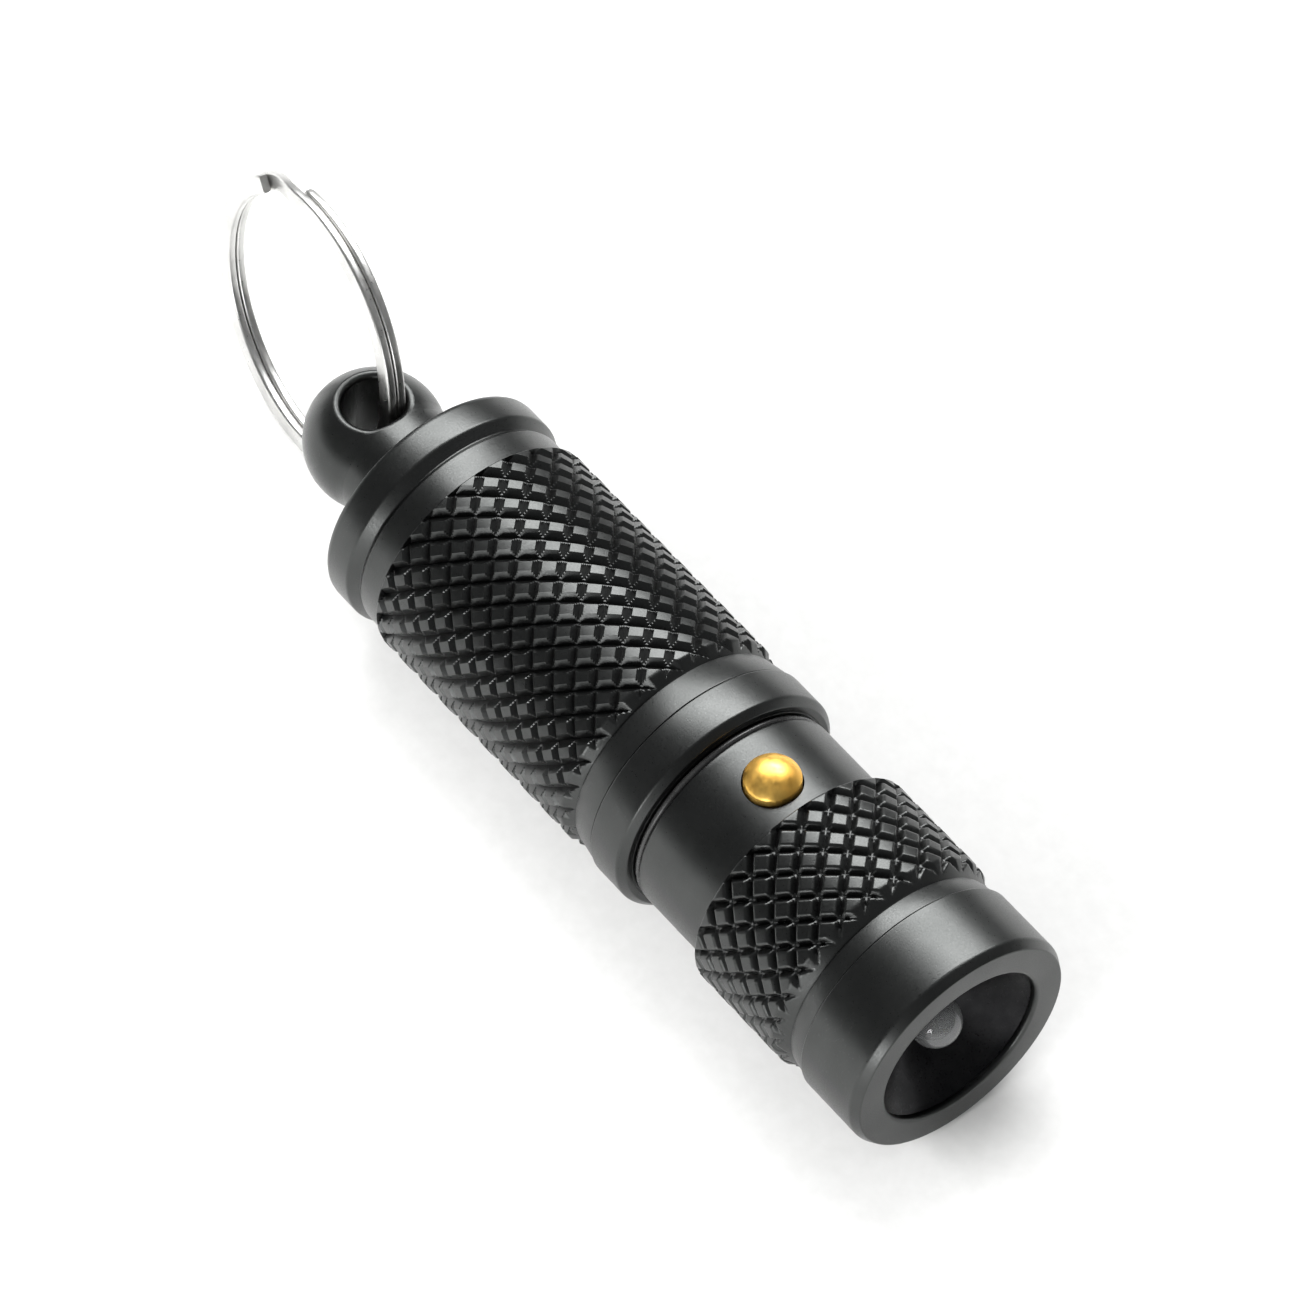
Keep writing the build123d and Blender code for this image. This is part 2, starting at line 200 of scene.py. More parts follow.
# Button
button_station = -16.3
button_radius = 1.62
button_hole_radius = 1.72
button_rim = 7.0
button_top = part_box("button")[1].z / MM
button_flange_radius = 2.3
button_flange_bottom = 4.05
button_flange_top = 4.65

# Split ring, with its centre as (x, y, z) and its angles in radians
ring_outer_radius = 9.15
ring_width = 1.15
coil_thickness = 0.55
coil_rise = 0.6
ring_centre = (-59.83, 1.33, 1.67)
ring_yaw = math.radians(5.2)
ring_lean = math.radians(9.2)
coil_end = math.radians(-105)
jog_angle = math.radians(26)
ring_steps = 520
ring_sharp_degrees = 40
wire_end_pinch = 0.12
wire_end_reach = 0.12


# --- Mesh making ---

def rounded(points, steps=4):
    """An outline of (station, radius, rounding) points with its corners rounded."""
    outline = []
    for index, (x, r, rounding) in enumerate(points):
        if rounding == 0 or index in (0, len(points) - 1):
            outline.append((x, r))
            continue
        corner = Vector((x, r))
        before = Vector(points[index - 1][:2]) - corner
        after = Vector(points[index + 1][:2]) - corner
        start = corner + before.normalized() * rounding
        end = corner + after.normalized() * rounding
        for step in range(steps + 1):
            t = step / steps
            point = start * (1 - t) ** 2 + corner * 2 * t * (1 - t) + end * t**2
            outline.append((point.x, point.y))
    return outline


def stretch(first, last, spacing):
    """Outline from one (station, radius) point to another, in steps of about one spacing."""
    count = max(2, round(abs(last[0] - first[0]) / spacing) + 1)
    return list(zip(np.linspace(first[0], last[0], count), np.linspace(first[1], last[1], count)))


def grip_outline(rear, slope, front, crest, foot):
    """Crest and front slope of a knurl, on stations that its grooves pass through exactly."""
    stations = np.arange(rear, front, grip_step)
    return [(x, np.interp(x, (slope, front), (crest, foot))) for x in stations]


def groove(phase, depth, width):
    """Depth of a V groove that repeats at every whole phase. Its half width is in pitches."""
    distance = np.abs(phase - np.round(phase)) / width
    return depth * np.clip(1 - distance, 0, 1)


def knurl(crest, first, left, right):
    """Cutter for a diamond knurl. left and right give each hand's (depth, width in pitches)."""
    def cut(blank, angle, x):
        turn = knurl_starts * angle / math.tau
        along = (x - first) / knurl_pitch
        grooves = np.maximum(groove(turn + along, *left), groove(turn - along, *right))
        return np.minimum(blank, crest - grooves)
    return cut


def thread(depth):
    """Cutter for a right-hand thread: depth is positive on a shank and negative in a bore."""
    def cut(blank, angle, x):
        phase = x / thread_pitch - angle / math.tau
        distance = np.abs(phase - np.round(phase)) * 2
        return blank - depth * np.clip(thread_flank * (1 - distance) - thread_root, 0, 1)
    return cut


def cut_ring(x, blank, cut, angles):
    """One ring of radii: the blank's own, or what the cutter leaves of it."""
    plain = np.full(len(angles), blank)
    return plain if cut is None else cut(plain, angles, x)


def ring_points(x, radii, angles):
    return np.column_stack([np.full(len(angles), x), -radii * np.sin(angles), radii * np.cos(angles)])


def turned(name, bands, segments=around):
    """A piece turned about X. Each band is (outline, cut), where cut is None or a cutter.

    Bands that start and end on the axis make a solid piece, and any others go round a bore.
    The faces of a cut band get a vertex in the middle, so that both hands of a knurl stay crisp.
    """
    angles = np.arange(segments) * math.tau / segments
    middles = angles + math.pi / segments
    rings = [(x, r, cut) for outline, cut in bands for x, r in outline]
    points, depths, faces = [], [], []
    for x, blank, cut in rings:
        radii = cut_ring(x, blank, cut, angles)
        points.append(ring_points(x, radii, angles))
        depths.append(np.abs(radii - blank))
    on_axis = rings[0][1] == 0
    for index in range(len(rings) - 1 if on_axis else len(rings)):
        following = (index + 1) % len(rings)
        x, blank, cut = rings[index]
        next_x, next_blank, next_cut = rings[following]
        here, there = index * segments, following * segments
        quads = [
            (here + j, here + (j + 1) % segments, there + (j + 1) % segments, there + j)
            for j in range(segments)
        ]
        if cut is None or cut is not next_cut:
            faces.extend(quads)
            continue
        first = len(points) * segments
        radii = cut_ring((x + next_x) / 2, (blank + next_blank) / 2, cut, middles)
        points.append(ring_points((x + next_x) / 2, radii, middles))
        depths.append(np.abs(radii - (blank + next_blank) / 2))
        for j, quad in enumerate(quads):
            faces.extend((quad[n], quad[(n + 1) % 4], first + j) for n in range(4))
    return finished(name, np.concatenate(points), faces, np.concatenate(depths))


def finished(name, points, faces, depths=None, sharp=sharp_degrees):
    """A smooth-shaded object from points in millimetres, with its sharp edges kept."""
    mesh = bpy.data.meshes.new(name)
    mesh.from_pydata((np.asarray(points) * MM).tolist(), [], faces)
    if depths is not None:
        cut = mesh.attributes.new("cut_depth", "FLOAT", "POINT")
        cut.data.foreach_set("value", np.asarray(depths, dtype=np.float32))
    close_up(mesh)
    mesh.shade_smooth()
    mesh.set_sharp_from_angle(angle=math.radians(sharp))
    piece = bpy.data.objects.new(name, mesh)
    scene.collection.objects.link(piece)
    keep_faces_flat(piece)
    return piece


def keep_faces_flat(piece):
    """Weighs normals by face size, so that roundings shade softly beside flat faces."""
    smooth = piece.modifiers.new("flat faces stay flat", "WEIGHTED_NORMAL")
    smooth.keep_sharp = True


def close_up(mesh):
    """Merges the points that meet on the axis and turns every face so that its normal points out."""
    work = bmesh.new()
    work.from_mesh(mesh)
    bmesh.ops.remove_doubles(work, verts=work.verts, dist=merge_distance)
    bmesh.ops.recalc_face_normals(work, faces=work.faces)
    work.to_mesh(mesh)
    work.free()


def stand_in_for(piece, node, body, material):
    """Puts a piece in the place of its CAD node, which it hides, under the given body and with its own
    material.
    """
    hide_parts(node)
    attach(piece, body)
    piece.data.materials.append(material)
    return piece


# --- Turned pieces of the light ---

def make_battery_tube():
    """Knurled tube with its tail flange, cone and collar, its front ring and the screw thread's bore."""
    grip_rear = tube_knurl_rear + knurl_setback
    left, right = (tube_left_depth, wide_groove), (tube_right_depth, narrow_groove)
    grip = knurl(tube_crest, grip_rear, left, right)
    tail = rounded([
        (tube_floor, stud_radius, 0),
        (flange_rear, stud_radius, 0.05),
        (flange_rear, flange_radius, 0.42),
        (flange_front, flange_radius, 0.12),
        (tail_groove, tail_groove_radius, 0.08),
        (tail_collar_rear, tail_collar_radius, 0.06),
        (tube_knurl_rear - slip, tail_collar_radius, 0.05),
        (tube_knurl_rear - slip, tube_crest - knurl_end_foot, 0),
        (tube_knurl_rear, tube_crest - knurl_end_crest, 0),
    ])
    knurled = grip_outline(grip_rear, tube_slope, tube_ring_rear, tube_crest, tube_groove_radius)
    front = rounded([
        (tube_ring_rear, tube_groove_radius, 0),
        (tube_ring_rear, tube_ring_rear_radius, 0.06),
        (collar_rear - collar_gap, tube_ring_front_radius, 0.05),
        (collar_rear - collar_gap, neck_radius, 0),
        (collar_front, neck_radius, 0.05),
        (collar_front, mouth_bore, 0.08),
        (collar_front - thread_runout, mouth_bore, 0),
    ])
    bore = stretch(
        (collar_front - thread_runout - slip, mouth_bore),
        (mouth_rear + thread_runout, mouth_bore),
        thread_step,
    )
    inside = [
        (mouth_rear, mouth_bore),
        (mouth_rear, cell_bore),
        (tube_floor, cell_bore),
    ]
    tube = turned("battery_tube_knurled", [
        (tail, None), (knurled, grip), (front, None), (bore, thread(-thread_depth)), (inside, None),
    ])
    return stand_in_for(tube, "battery_tube", "barrel", anodised)


def make_head_shell():
    """Head with its threaded shank, smooth neck with the button's hole, knurl and front ring."""
    grip_rear = head_knurl_rear + knurl_setback
    hand = (head_groove_depth, narrow_groove)
    grip = knurl(head_crest, grip_rear, left=hand, right=hand)
    shank = stretch(
        (shank_rear + shank_lead_in, shank_radius),
        (seal_seat_rear - thread_runout, shank_radius),
        thread_step,
    )
    seat = rounded([
        (seal_seat_rear, shank_radius, 0.08),
        (seal_seat_rear, seal_seat_radius, 0),
        (neck_rear, seal_seat_radius, 0),
        (neck_rear, neck_radius, 0.16),
        (neck_rear + neck_land, neck_radius, 0),
    ])
    neck = stretch(
        (neck_rear + neck_land + neck_margin, neck_radius),
        (head_knurl_rear - neck_margin, neck_radius),
        neck_step,
    )
    shoulder = [
        (head_knurl_rear - slip, neck_radius),
        (head_knurl_rear - slip, head_crest - knurl_end_foot),
        (head_knurl_rear, head_crest - knurl_end_crest),
    ]
    knurled = grip_outline(grip_rear, head_slope, head_ring_rear, head_crest, head_groove_radius)
    front = rounded([
        (head_ring_rear, head_groove_radius, 0),
        (head_ring_rear, head_ring_rear_radius, 0.06),
        (bezel_rear - bezel_gap, head_front_radius, 0.05),
        (bezel_rear - bezel_gap, spigot_bore, 0),
        (spigot_bore_rear, spigot_bore, 0),
        (spigot_bore_rear, module_bore, 0),
        (shank_rear, module_bore, 0),
        (shank_rear, shank_radius, 0.15),
    ])
    shell = turned("head_shell_knurled", [
        (shank, thread(thread_depth)),
        (seat + neck + shoulder, None),
        (knurled, grip),
        (front, None),
    ])
    bore_button_hole(shell)
    return stand_in_for(shell, "head_shell", "head", anodised)


def bore_button_hole(shell):
    """Cuts the button's round hole through the top of the neck."""
    cutter_top = head_crest + 1
    outline = [
        (button_flange_bottom, 0),
        (button_flange_bottom, button_hole_radius),
        (cutter_top, button_hole_radius),
        (cutter_top, 0),
    ]
    cutter = turned("hole_cutter", [(outline, None)], small_segments)
    stand_upright(cutter)
    hole = shell.modifiers.new("button hole", "BOOLEAN")
    hole.operation = "DIFFERENCE"
    hole.solver = "EXACT"
    hole.object = cutter
    view_of_shell = shell.evaluated_get(bpy.context.evaluated_depsgraph_get())
    cut = bpy.data.meshes.new_from_object(view_of_shell)
    cut.name = shell.name
    shell.modifiers.clear()
    shell.data = cut
    shell.data.set_sharp_from_angle(angle=math.radians(sharp_degrees))
    keep_faces_flat(shell)
    bpy.data.objects.remove(cutter)


def stand_upright(piece):
    """Turns a piece made about X so that it stands about the button's own axis."""
    piece.data.transform(Matrix.Rotation(-math.pi / 2, 4, "Y"))
    piece.data.transform(Matrix.Translation((button_station * MM, 0, 0)))


def make_grip_collar():
    """The widest band of the light, with its forward chamfer."""
    outline = rounded([
        (collar_rear, neck_radius + slip, 0),
        (collar_rear, collar_radius, 0.1),
        (collar_front - collar_chamfer, collar_radius, 0.12),
        (collar_front, collar_radius - collar_chamfer, 0.06),
        (collar_front, neck_radius + slip, 0),
    ])
    collar = turned("grip_collar_turned", [(outline, None)])
    return stand_in_for(collar, "grip_collar", "barrel", anodised)


def make_bezel():
    """Front ring with its chamfer, flat face, rounded opening and threaded skirt."""
    face = rounded([
        (bezel_rear, bezel_skirt_radius, 0),
        (bezel_rear, bezel_radius, 0.1),
        (bezel_chamfer_rear, bezel_radius, 0.12),
        (0, bezel_radius - bezel_chamfer_height, 0.08),
        (0, lip_radius + slip, 0.26),
        (lip_rear, lip_radius, 0.04),
        (lip_rear, bezel_bore, 0),
        (bezel_skirt_rear, bezel_bore, 0.05),
        (bezel_skirt_rear, bezel_skirt_radius, 0.1),
    ], steps=6)
    skirt = stretch(
        (bezel_skirt_rear + skirt_lead_in, bezel_skirt_radius),
        (bezel_rear - thread_runout, bezel_skirt_radius),
        thread_step,
    )
    bezel = turned("bezel_turned", [(face, None), (skirt, thread(bezel_thread_depth))])
    return stand_in_for(bezel, "bezel_ring", "head", anodised)


def make_reflector():
    """Black cone around the light dome, with the fine steps that its turning tool leaves."""
    cone_front, cone_rear = (lip_rear - cone_gap, lip_radius), (reflector_throat, throat_radius)
    cone = []
    for step in range(cone_steps):
        near, far = step / cone_steps, (step + 1) / cone_steps
        x = cone_front[0] + (cone_rear[0] - cone_front[0]) * near
        x_next = cone_front[0] + (cone_rear[0] - cone_front[0]) * far
        r = cone_front[1] + (cone_rear[1] - cone_front[1]) * near
        r_next = cone_front[1] + (cone_rear[1] - cone_front[1]) * far
        cone += [(x, r), (x_next + cone_step_length, r_next + cone_step_height)]
    outline = [(cone_front[0], module_bore), *cone, cone_rear]
    outline += [
        (reflector_throat, led_radius + led_clearance),
        (led_flange_front, led_radius + led_clearance),
        (led_flange_front, module_bore),
    ]
    reflector = turned("reflector_cone", [(outline, None)], round_segments)
    return stand_in_for(reflector, "reflector", "head", cone_black)


def make_led_lens():
    """Clear moulded dome with a flange at its foot and a hollow for the frame inside."""
    dome = [
        (led_dome_centre + led_radius * math.cos(t), led_radius * math.sin(t))
        for t in (math.pi / 2 * step / dome_steps for step in range(dome_steps, -1, -1))
    ]
    body = rounded([
        (led_pocket_front, 0, 0),
        (led_pocket_front, led_pocket_radius, 0.1),
        (led_flange_rear, led_pocket_radius, 0),
        (led_flange_rear, led_flange_radius, 0.06),
        (led_flange_front, led_flange_radius, 0.06),
        (led_flange_front, led_radius, 0.04),
        (led_dome_centre - slip, led_radius, 0),
    ])
    lens = turned("led_dome", [(body + dome, None)], small_segments)
    return stand_in_for(lens, "led_lens", "head", epoxy)


def make_head_seal():
    """O-ring in the gap between head and tube."""
    low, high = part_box("head_seal")
    half_width = (high.x - low.x) / 2 / MM
    middle = (high.x + low.x) / 2 / MM
    centre = high.z / MM - seal_half_height
    outline = [
        (middle + half_width * math.cos(t), centre + seal_half_height * math.sin(t))
        for t in (math.tau * step / dome_steps for step in range(dome_steps))
    ]
    seal = turned("head_o_ring", [(outline, None)], fine_segments)
    return stand_in_for(seal, "head_seal", "seal", rubber)


def make_button():
    """Domed push button with its stem and retaining flange."""
    height = button_top - button_rim
    dome = (button_radius**2 + height**2) / (2 * height)
    half_angle = math.asin(button_radius / dome)
    crown = [
        (button_top - dome + dome * math.cos(t), dome * math.sin(t))
        for t in (half_angle * (1 - step / crown_steps) for step in range(1, crown_steps + 1))
    ]
    stem = rounded([
        (button_flange_bottom, 0, 0),
        (button_flange_bottom, button_flange_radius, 0.08),
        (button_flange_top, button_flange_radius, 0.08),
        (button_flange_top, button_radius, 0),
        (button_rim, button_radius, 0.1),
        crown[0] + (0,),
    ])
    button = turned("button_gold", [(stem + crown[1:], None)], round_segments)
    stand_upright(button)
    return stand_in_for(button, "button", "button", gold)


def make_split_ring():
    """Double-wound ring: one wire that goes round twice, with a jog where it changes coil."""
    normal = Vector((
        math.sin(ring_yaw),
        math.cos(ring_yaw) * math.cos(ring_lean),
        -math.cos(ring_yaw) * math.sin(ring_lean),
    ))
    first = Vector((
        math.cos(ring_yaw),
        -math.sin(ring_yaw) * math.cos(ring_lean),
        math.sin(ring_yaw) * math.sin(ring_lean),
    ))
    second = normal.cross(first)
    sweep = 2 * math.tau - jog_angle
    middle = ring_outer_radius - ring_width / 2
    section = wire_section()
    points = []
    for step in range(ring_steps + 1):
        travelled = sweep * step / ring_steps
        angle = coil_end + travelled
        radial = first * math.cos(angle) + second * math.sin(angle)
        centre = Vector(ring_centre) + radial * middle
        end = min(travelled, sweep - travelled) * middle
        pinch = 1 - wire_end_pinch * math.exp(-((end / wire_end_reach) ** 2))
        for width, thickness in section:
            offset = thickness * pinch + rise(travelled)
            points.append(centre + radial * width * pinch + normal * offset)
    size = len(section)
    faces = [
        (here + n, here + (n + 1) % size, here + size + (n + 1) % size, here + size + n)
        for here in range(0, ring_steps * size, size)
        for n in range(size)
    ]
    faces.append(tuple(range(size)))
    faces.append(tuple(ring_steps * size + n for n in range(size)))
    ring = finished("split_ring_wound", points, faces, sharp=ring_sharp_degrees)
    return stand_in_for(ring, "split_ring", "ring", ring_steel)


def wire_section(corner=0.17, steps=4):
    """Rounded rectangle across the wire, as (along the radius, along the ring's axis) points."""
    half_width, half_thickness = ring_width / 2, coil_thickness / 2
    section = []
    for side, (u, v) in enumerate(((1, 1), (-1, 1), (-1, -1), (1, -1))):
        for step in range(steps + 1):
            turn = math.pi / 2 * (side + step / steps)
            section.append((
                u * (half_width - corner) + corner * math.cos(turn),
                v * (half_thickness - corner) + corner * math.sin(turn),
            ))
    return section


def rise(travelled):
    """How far the wire's middle is from the ring's mid-plane, after an angle travelled along it."""
    jog_start = math.tau - jog_angle
    through = min(max((travelled - jog_start) / jog_angle, 0), 1)
    return coil_rise / 2 * math.cos(math.pi * through)


# --- Materials: each is a small node graph in the object's own coordinates ---

class Graph:
    """A new material whose nodes all read the object's own coordinates."""

    def __init__(self, name):
        self.material = bpy.data.materials.new(name)
        self.material.use_nodes = True
        self.nodes = self.material.node_tree.nodes
        self.links = self.material.node_tree.links
        self.shader = self.nodes["Principled BSDF"]
        self.place = self.nodes.new("ShaderNodeTexCoord").outputs["Object"]

    def set(self, **values):
        for name, value in values.items():
            self.shader.inputs[name.replace("_", " ")].default_value = value
        return self

    def noise(self, size, detail=3, stretch=(1, 1, 1), roughness=0.5):
        """Noise with features about that many millimetres across, stretched along each axis."""
        mapping = self.nodes.new("ShaderNodeMapping")
        mapping.inputs["Scale"].default_value = [1 / (size * MM * s) for s in stretch]
        self.links.new(self.place, mapping.inputs["Vector"])
        noise = self.nodes.new("ShaderNodeTexNoise")
        noise.inputs["Scale"].default_value = 1
        noise.inputs["Detail"].default_value = detail
        noise.inputs["Roughness"].default_value = roughness
        self.links.new(mapping.outputs["Vector"], noise.inputs["Vector"])
        return noise.outputs["Fac"]

    def ramp(self, value, low, high, start=0.3, end=0.7):
        """Maps a value between start and end on to numbers or colours between low and high."""
        if isinstance(low, (int, float)):
            node = self.nodes.new("ShaderNodeMapRange")
            for name, number in zip(("From Min", "From Max", "To Min", "To Max"), (start, end, low, high)):
                node.inputs[name].default_value = number
            self.links.new(value, node.inputs["Value"])
            return node.outputs["Result"]
        node = self.nodes.new("ShaderNodeValToRGB")
        node.color_ramp.elements[0].position = start
        node.color_ramp.elements[1].position = end
        node.color_ramp.elements[0].color = (*low, 1)
        node.color_ramp.elements[1].color = (*high, 1)
        self.links.new(value, node.inputs["Fac"])
        return node.outputs["Color"]

    def mix(self, factor, low, high):
        """Colour between two colour outputs."""
        node = self.nodes.new("ShaderNodeMix")
        node.data_type = "RGBA"
        self.links.new(factor, node.inputs["Factor"])
        self.links.new(low, node.inputs["A"])
        self.links.new(high, node.inputs["B"])
        return node.outputs["Result"]

    def attribute(self, name):
        node = self.nodes.new("ShaderNodeAttribute")
        node.attribute_name = name
        return node.outputs["Fac"]

    def bump(self, *layers):
        """Stacks bumps. Each layer is (height, height of the relief in millimetres)."""
        normal = None
        for height, relief in layers:
            node = self.nodes.new("ShaderNodeBump")
            node.inputs["Distance"].default_value = relief * MM
            self.links.new(height, node.inputs["Height"])
            if normal is not None:
                self.links.new(normal, node.inputs["Normal"])
            normal = node.outputs["Normal"]
        self.links.new(normal, self.shader.inputs["Normal"])
        return self

    def wire(self, **sources):
        for name, source in sources.items():
            self.links.new(source, self.shader.inputs[name.replace("_", " ")])
        return self


def make_anodised():
    """Satin black anodised aluminium: fine etched grain, faint turning lines, and painted shade that
    darkens the grip's grooves.
    """
    g = Graph("black anodised aluminium")
    grain = g.noise(0.09, detail=4)
    cloud = g.noise(3.0, detail=2)
    lines = g.noise(0.12, detail=2, stretch=(1, 60, 60))
    body = g.ramp(cloud, (0.054, 0.056, 0.055), (0.068, 0.07, 0.069))
    # hollow is painted shade. This darker colour is mixed into the knurl and thread grooves by their cut
    # depth, so the crests read lighter.
    hollow = g.ramp(grain, (0.042, 0.043, 0.043), (0.062, 0.064, 0.063))
    depth = g.ramp(g.attribute("cut_depth"), 0.0, 1.0, start=0.02, end=0.3)
    g.set(Metallic=1.0)
    g.wire(Base_Color=g.mix(depth, body, hollow), Roughness=g.ramp(grain, 0.27, 0.4))
    return g.bump((grain, 0.0035), (lines, 0.002)).material


def make_metal(name, dark, light, rough, grain_size, relief, stretch=(1, 1, 1)):
    """A bright metal with cloudy tone, fine scratches and a slightly uneven gloss."""
    g = Graph(name)
    scratches = g.noise(grain_size, detail=5, stretch=stretch, roughness=0.65)
    g.set(Metallic=1.0)
    g.wire(
        Base_Color=g.ramp(g.noise(1.8), dark, light),
        Roughness=g.ramp(scratches, rough * 0.75, rough * 1.35),
    )
    return g.bump((scratches, relief)).material


def make_moulded(name, dark, light, rough, grain_size=0.15, relief=0.004, **values):
    """A piece with a fine grain and slightly uneven colour. values set the shader's other sockets."""
    g = Graph(name)
    grain = g.noise(grain_size, detail=4)
    g.set(**values)
    g.wire(Base_Color=g.ramp(g.noise(1.2), dark, light), Roughness=g.ramp(grain, rough * 0.8, rough * 1.2))
    return g.bump((grain, relief)).material


def make_epoxy():
    """Clear cast epoxy with a faint wavy skin."""
    g = Graph("clear epoxy")
    g.set(IOR=1.52, Transmission_Weight=0.9)
    skin = g.noise(0.9, detail=2)
    g.wire(
        Base_Color=g.ramp(skin, (0.9, 0.92, 0.93), (0.97, 0.98, 0.98)),
        Roughness=g.ramp(skin, 0.04, 0.1),
    )
    return g.bump((skin, 0.0006)).material


def make_board():
    """Green solder mask with copper tracks just showing through it."""
    g = Graph("circuit board")
    tracks = g.noise(0.7, detail=0, stretch=(3, 0.6, 1))
    weave = g.noise(0.2, detail=2)
    g.wire(
        Base_Color=g.ramp(tracks, (0.012, 0.075, 0.03), (0.03, 0.15, 0.06), start=0.49, end=0.51),
        Roughness=g.ramp(weave, 0.25, 0.4),
    )
    return g.bump((g.ramp(tracks, 0.0, 1.0, start=0.48, end=0.52), 0.02), (weave, 0.004)).material


def make_floor_material():
    """Plain pale sweep with a very slight paper grain."""
    g = Graph("pale paper")
    fibre = g.noise(0.8, detail=3)
    g.wire(
        Base_Color=g.ramp(fibre, (0.55, 0.55, 0.545), (0.58, 0.58, 0.575)),
        Roughness=g.ramp(fibre, 0.75, 0.85),
    )
    return g.bump((fibre, 0.004)).material


anodised = make_anodised()
ring_steel = make_metal("polished ring steel", (0.54, 0.54, 0.53), (0.66, 0.655, 0.64), 0.34, 0.4, 0.0008)
gold = make_metal("polished gold", (1.0, 0.56, 0.11), (1.0, 0.64, 0.16), 0.42, 0.5, 0.0004)
rubber = make_moulded("black rubber", (0.012, 0.012, 0.012), (0.02, 0.02, 0.02), 0.28, relief=0.002)
cone_black = make_moulded(
    "black cone", (0.012, 0.012, 0.013), (0.022, 0.022, 0.023), 0.32, relief=0.0006, Metallic=1.0
)
epoxy = make_epoxy()

slot_materials = {
    "black_anodised": anodised,
    "ring_steel": ring_steel,
    "gold_brass": gold,
    "black_rubber": rubber,
    "matt_black_cone": cone_black,
    "clear_epoxy": epoxy,
    "tinned_copper": make_metal("tinned copper", (0.66, 0.66, 0.65), (0.8, 0.8, 0.78), 0.2, 0.2, 0.002),
    "die_ceramic": make_moulded("phosphor die", (0.75, 0.6, 0.12), (0.85, 0.72, 0.25), 0.6),
    "black_plastic": make_moulded("black moulding", (0.02, 0.02, 0.022), (0.035, 0.035, 0.037), 0.45),
    "white_plastic": make_moulded("white moulding", (0.7, 0.69, 0.65), (0.78, 0.77, 0.73), 0.5),
    "board_green": make_board(),
    "resistor_body": make_moulded("resistor glaze", (0.015, 0.015, 0.016), (0.03, 0.03, 0.03), 0.2),
    "contact_brass": make_metal("contact brass", (0.6, 0.42, 0.16), (0.74, 0.55, 0.24), 0.24, 0.25, 0.002),
    "spring_steel": make_metal("spring wire", (0.45, 0.45, 0.46), (0.6, 0.6, 0.61), 0.22, 0.1, 0.002),
    "clear_film": make_moulded("clear film", (0.8, 0.8, 0.76), (0.88, 0.88, 0.85), 0.15, Alpha=0.35),
    "cell_steel": make_metal("cell steel", (0.55, 0.55, 0.54), (0.68, 0.68, 0.67), 0.22, 0.3, 0.0015),
    "cell_nylon": make_moulded("natural nylon", (0.62, 0.6, 0.5), (0.74, 0.72, 0.62), 0.4),
    "cell_mix": make_moulded("pressed powder", (0.02, 0.02, 0.02), (0.05, 0.05, 0.05), 0.9, relief=0.02),
}


def dress_cad_nodes():
    """Gives every CAD node its slot's material."""
    slot_of = {entry["node"]: entry["material_slot"] for entry in frame["record"]["subparts"]}
    for name, node in nodes.items():
        node.data.materials.clear()
        node.data.materials.append(slot_materials[slot_of[name]])


# --- Studio ---

photo_right = Vector((0.619, 0.785, 0.0)).normalized()
towards_camera = Vector((0.457, -0.360, 0.813)).normalized()
flashlight_middle = Vector((-0.028, 0, 0))
camera_place = Vector((0.1771, -0.1607, 0.3700))
sensor_width = 36
focal_length = 226.5
floor_gap = 0.00002


def make_camera():
    """Long lens, above and in front of the head, looking down the light at a slant."""
    right = (photo_right - towards_camera * photo_right.dot(towards_camera)).normalized()
    up = towards_camera.cross(right)
    data = bpy.data.cameras.new("camera")
    data.sensor_width = sensor_width
    data.lens = focal_length
    data.clip_start = 0.01
    data.clip_end = 10
    camera = bpy.data.objects.new("camera", data)
    turn = Matrix((right, up, towards_camera)).transposed().to_4x4()
    camera.matrix_world = Matrix.Translation(camera_place) @ turn
    scene.collection.objects.link(camera)
    scene.camera = camera


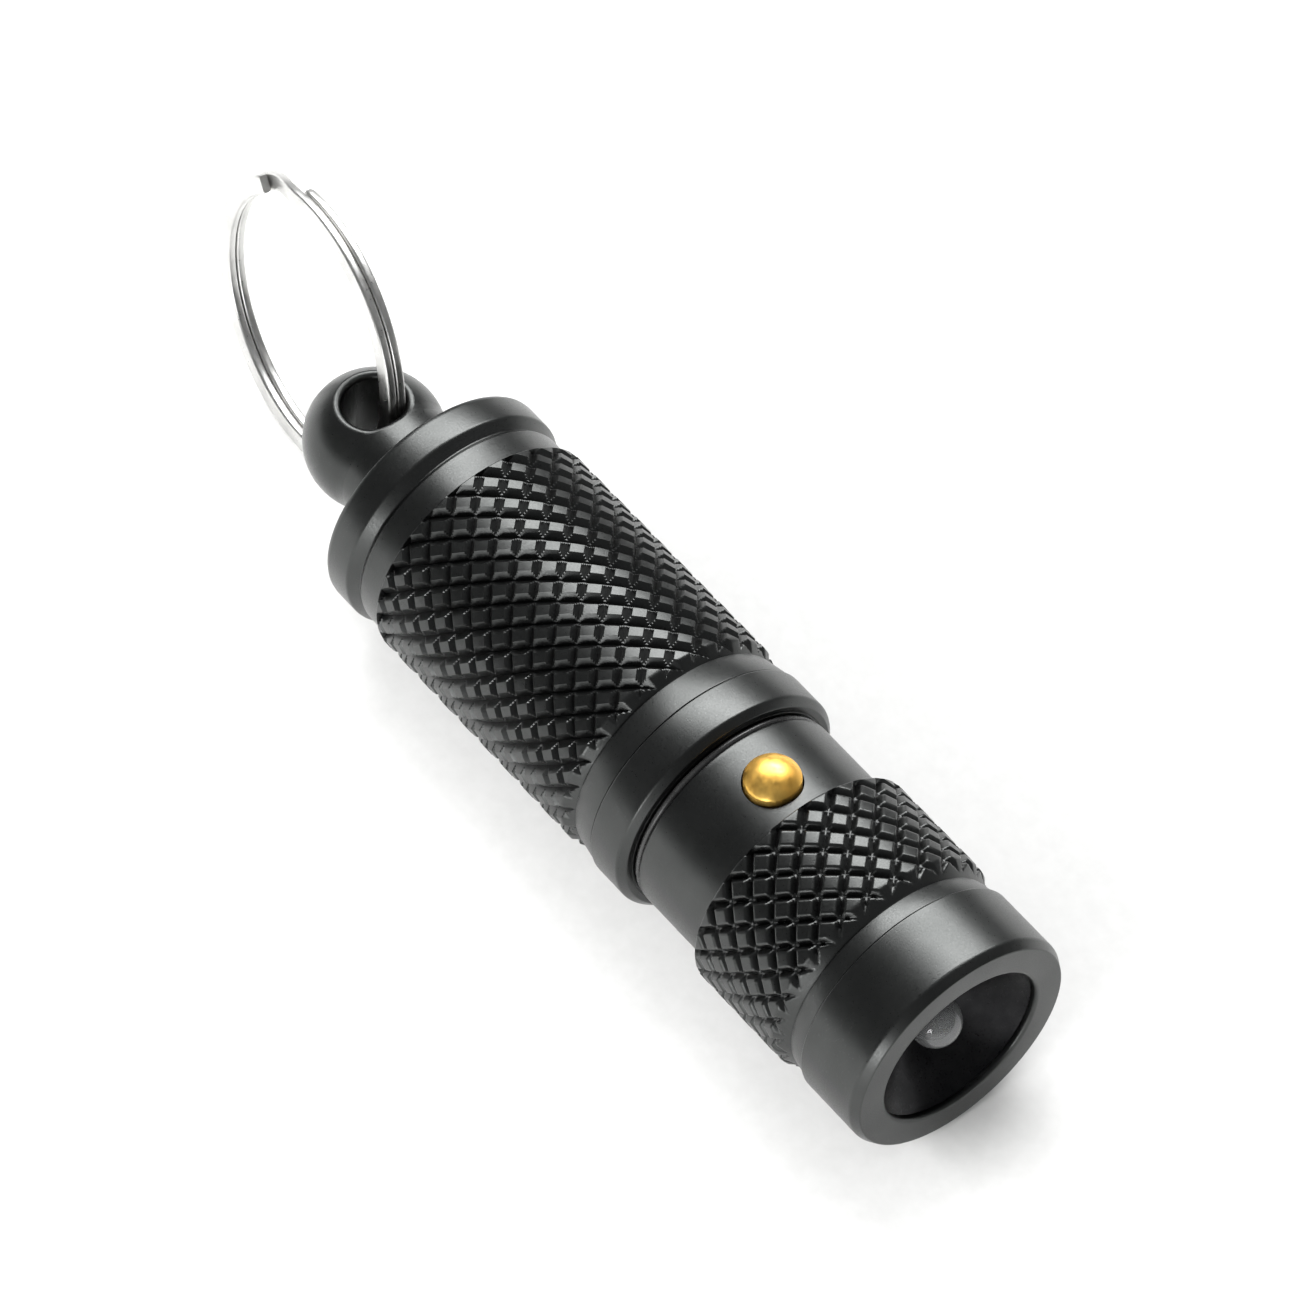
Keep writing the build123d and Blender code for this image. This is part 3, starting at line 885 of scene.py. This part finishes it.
def make_floor(height):
    """Plain pale floor under the flashlight."""
    half = 1.5
    steps = 8
    row = steps + 1
    spots = [
        (-half + 2 * half * i / steps, -half + 2 * half * j / steps, height)
        for i in range(row)
        for j in range(row)
    ]
    faces = [
        (i * row + j, (i + 1) * row + j, (i + 1) * row + j + 1, i * row + j + 1)
        for i in range(steps)
        for j in range(steps)
    ]
    mesh = bpy.data.meshes.new("floor")
    mesh.from_pydata(spots, [], faces)
    mesh.materials.append(make_floor_material())
    floor = bpy.data.objects.new("floor", mesh)
    scene.collection.objects.link(floor)


def softbox(name, direction, distance, size, brightness, mirrored=True):
    """Rectangular area light that faces the flashlight's middle. Brightness is its radiance.

    A softbox that isn't mirrored lights matt surfaces and leaves no reflection in polished ones.
    """
    data = bpy.data.lights.new(name, "AREA")
    data.shape = "RECTANGLE"
    data.size, data.size_y = size
    data.energy = brightness * math.pi * size[0] * size[1]
    lamp = bpy.data.objects.new(name, data)
    back = Vector(direction).normalized()
    lamp.location = flashlight_middle + back * distance
    lamp.visible_glossy = mirrored
    lamp.rotation_mode = "QUATERNION"
    lamp.rotation_quaternion = back.to_track_quat("Z", "Y")
    scene.collection.objects.link(lamp)


def light_studio():
    softbox("key softbox", (-0.44, 0.44, 0.78), 0.40, (0.42, 0.24), 9.4)
    softbox("overhead fill", (0.1, -0.25, 0.96), 0.60, (1.2, 1.2), 0.8, mirrored=False)
    softbox("side fill", (-0.25, -0.87, 0.42), 0.40, (0.6, 0.25), 12.0, mirrored=False)
    softbox("low front softbox", (0.52, -0.84, 0.15), 0.34, (0.10, 0.08), 10.0)
    world = bpy.data.worlds.new("studio")
    scene.world = world
    world.use_nodes = True
    background = world.node_tree.nodes["Background"]
    background.inputs["Color"].default_value = (0.97, 0.99, 1.0, 1)
    background.inputs["Strength"].default_value = 0.2
    scene.view_settings.view_transform = "Standard"


# --- Assembly ---

dress_cad_nodes()
make_battery_tube()
make_head_shell()
make_grip_collar()
make_bezel()
make_reflector()
make_led_lens()
make_head_seal()
make_button()
make_split_ring()
make_camera()
make_floor(min(cad_low.z, -collar_radius * MM) - floor_gap)
light_studio()

bpy.context.view_layer.update()
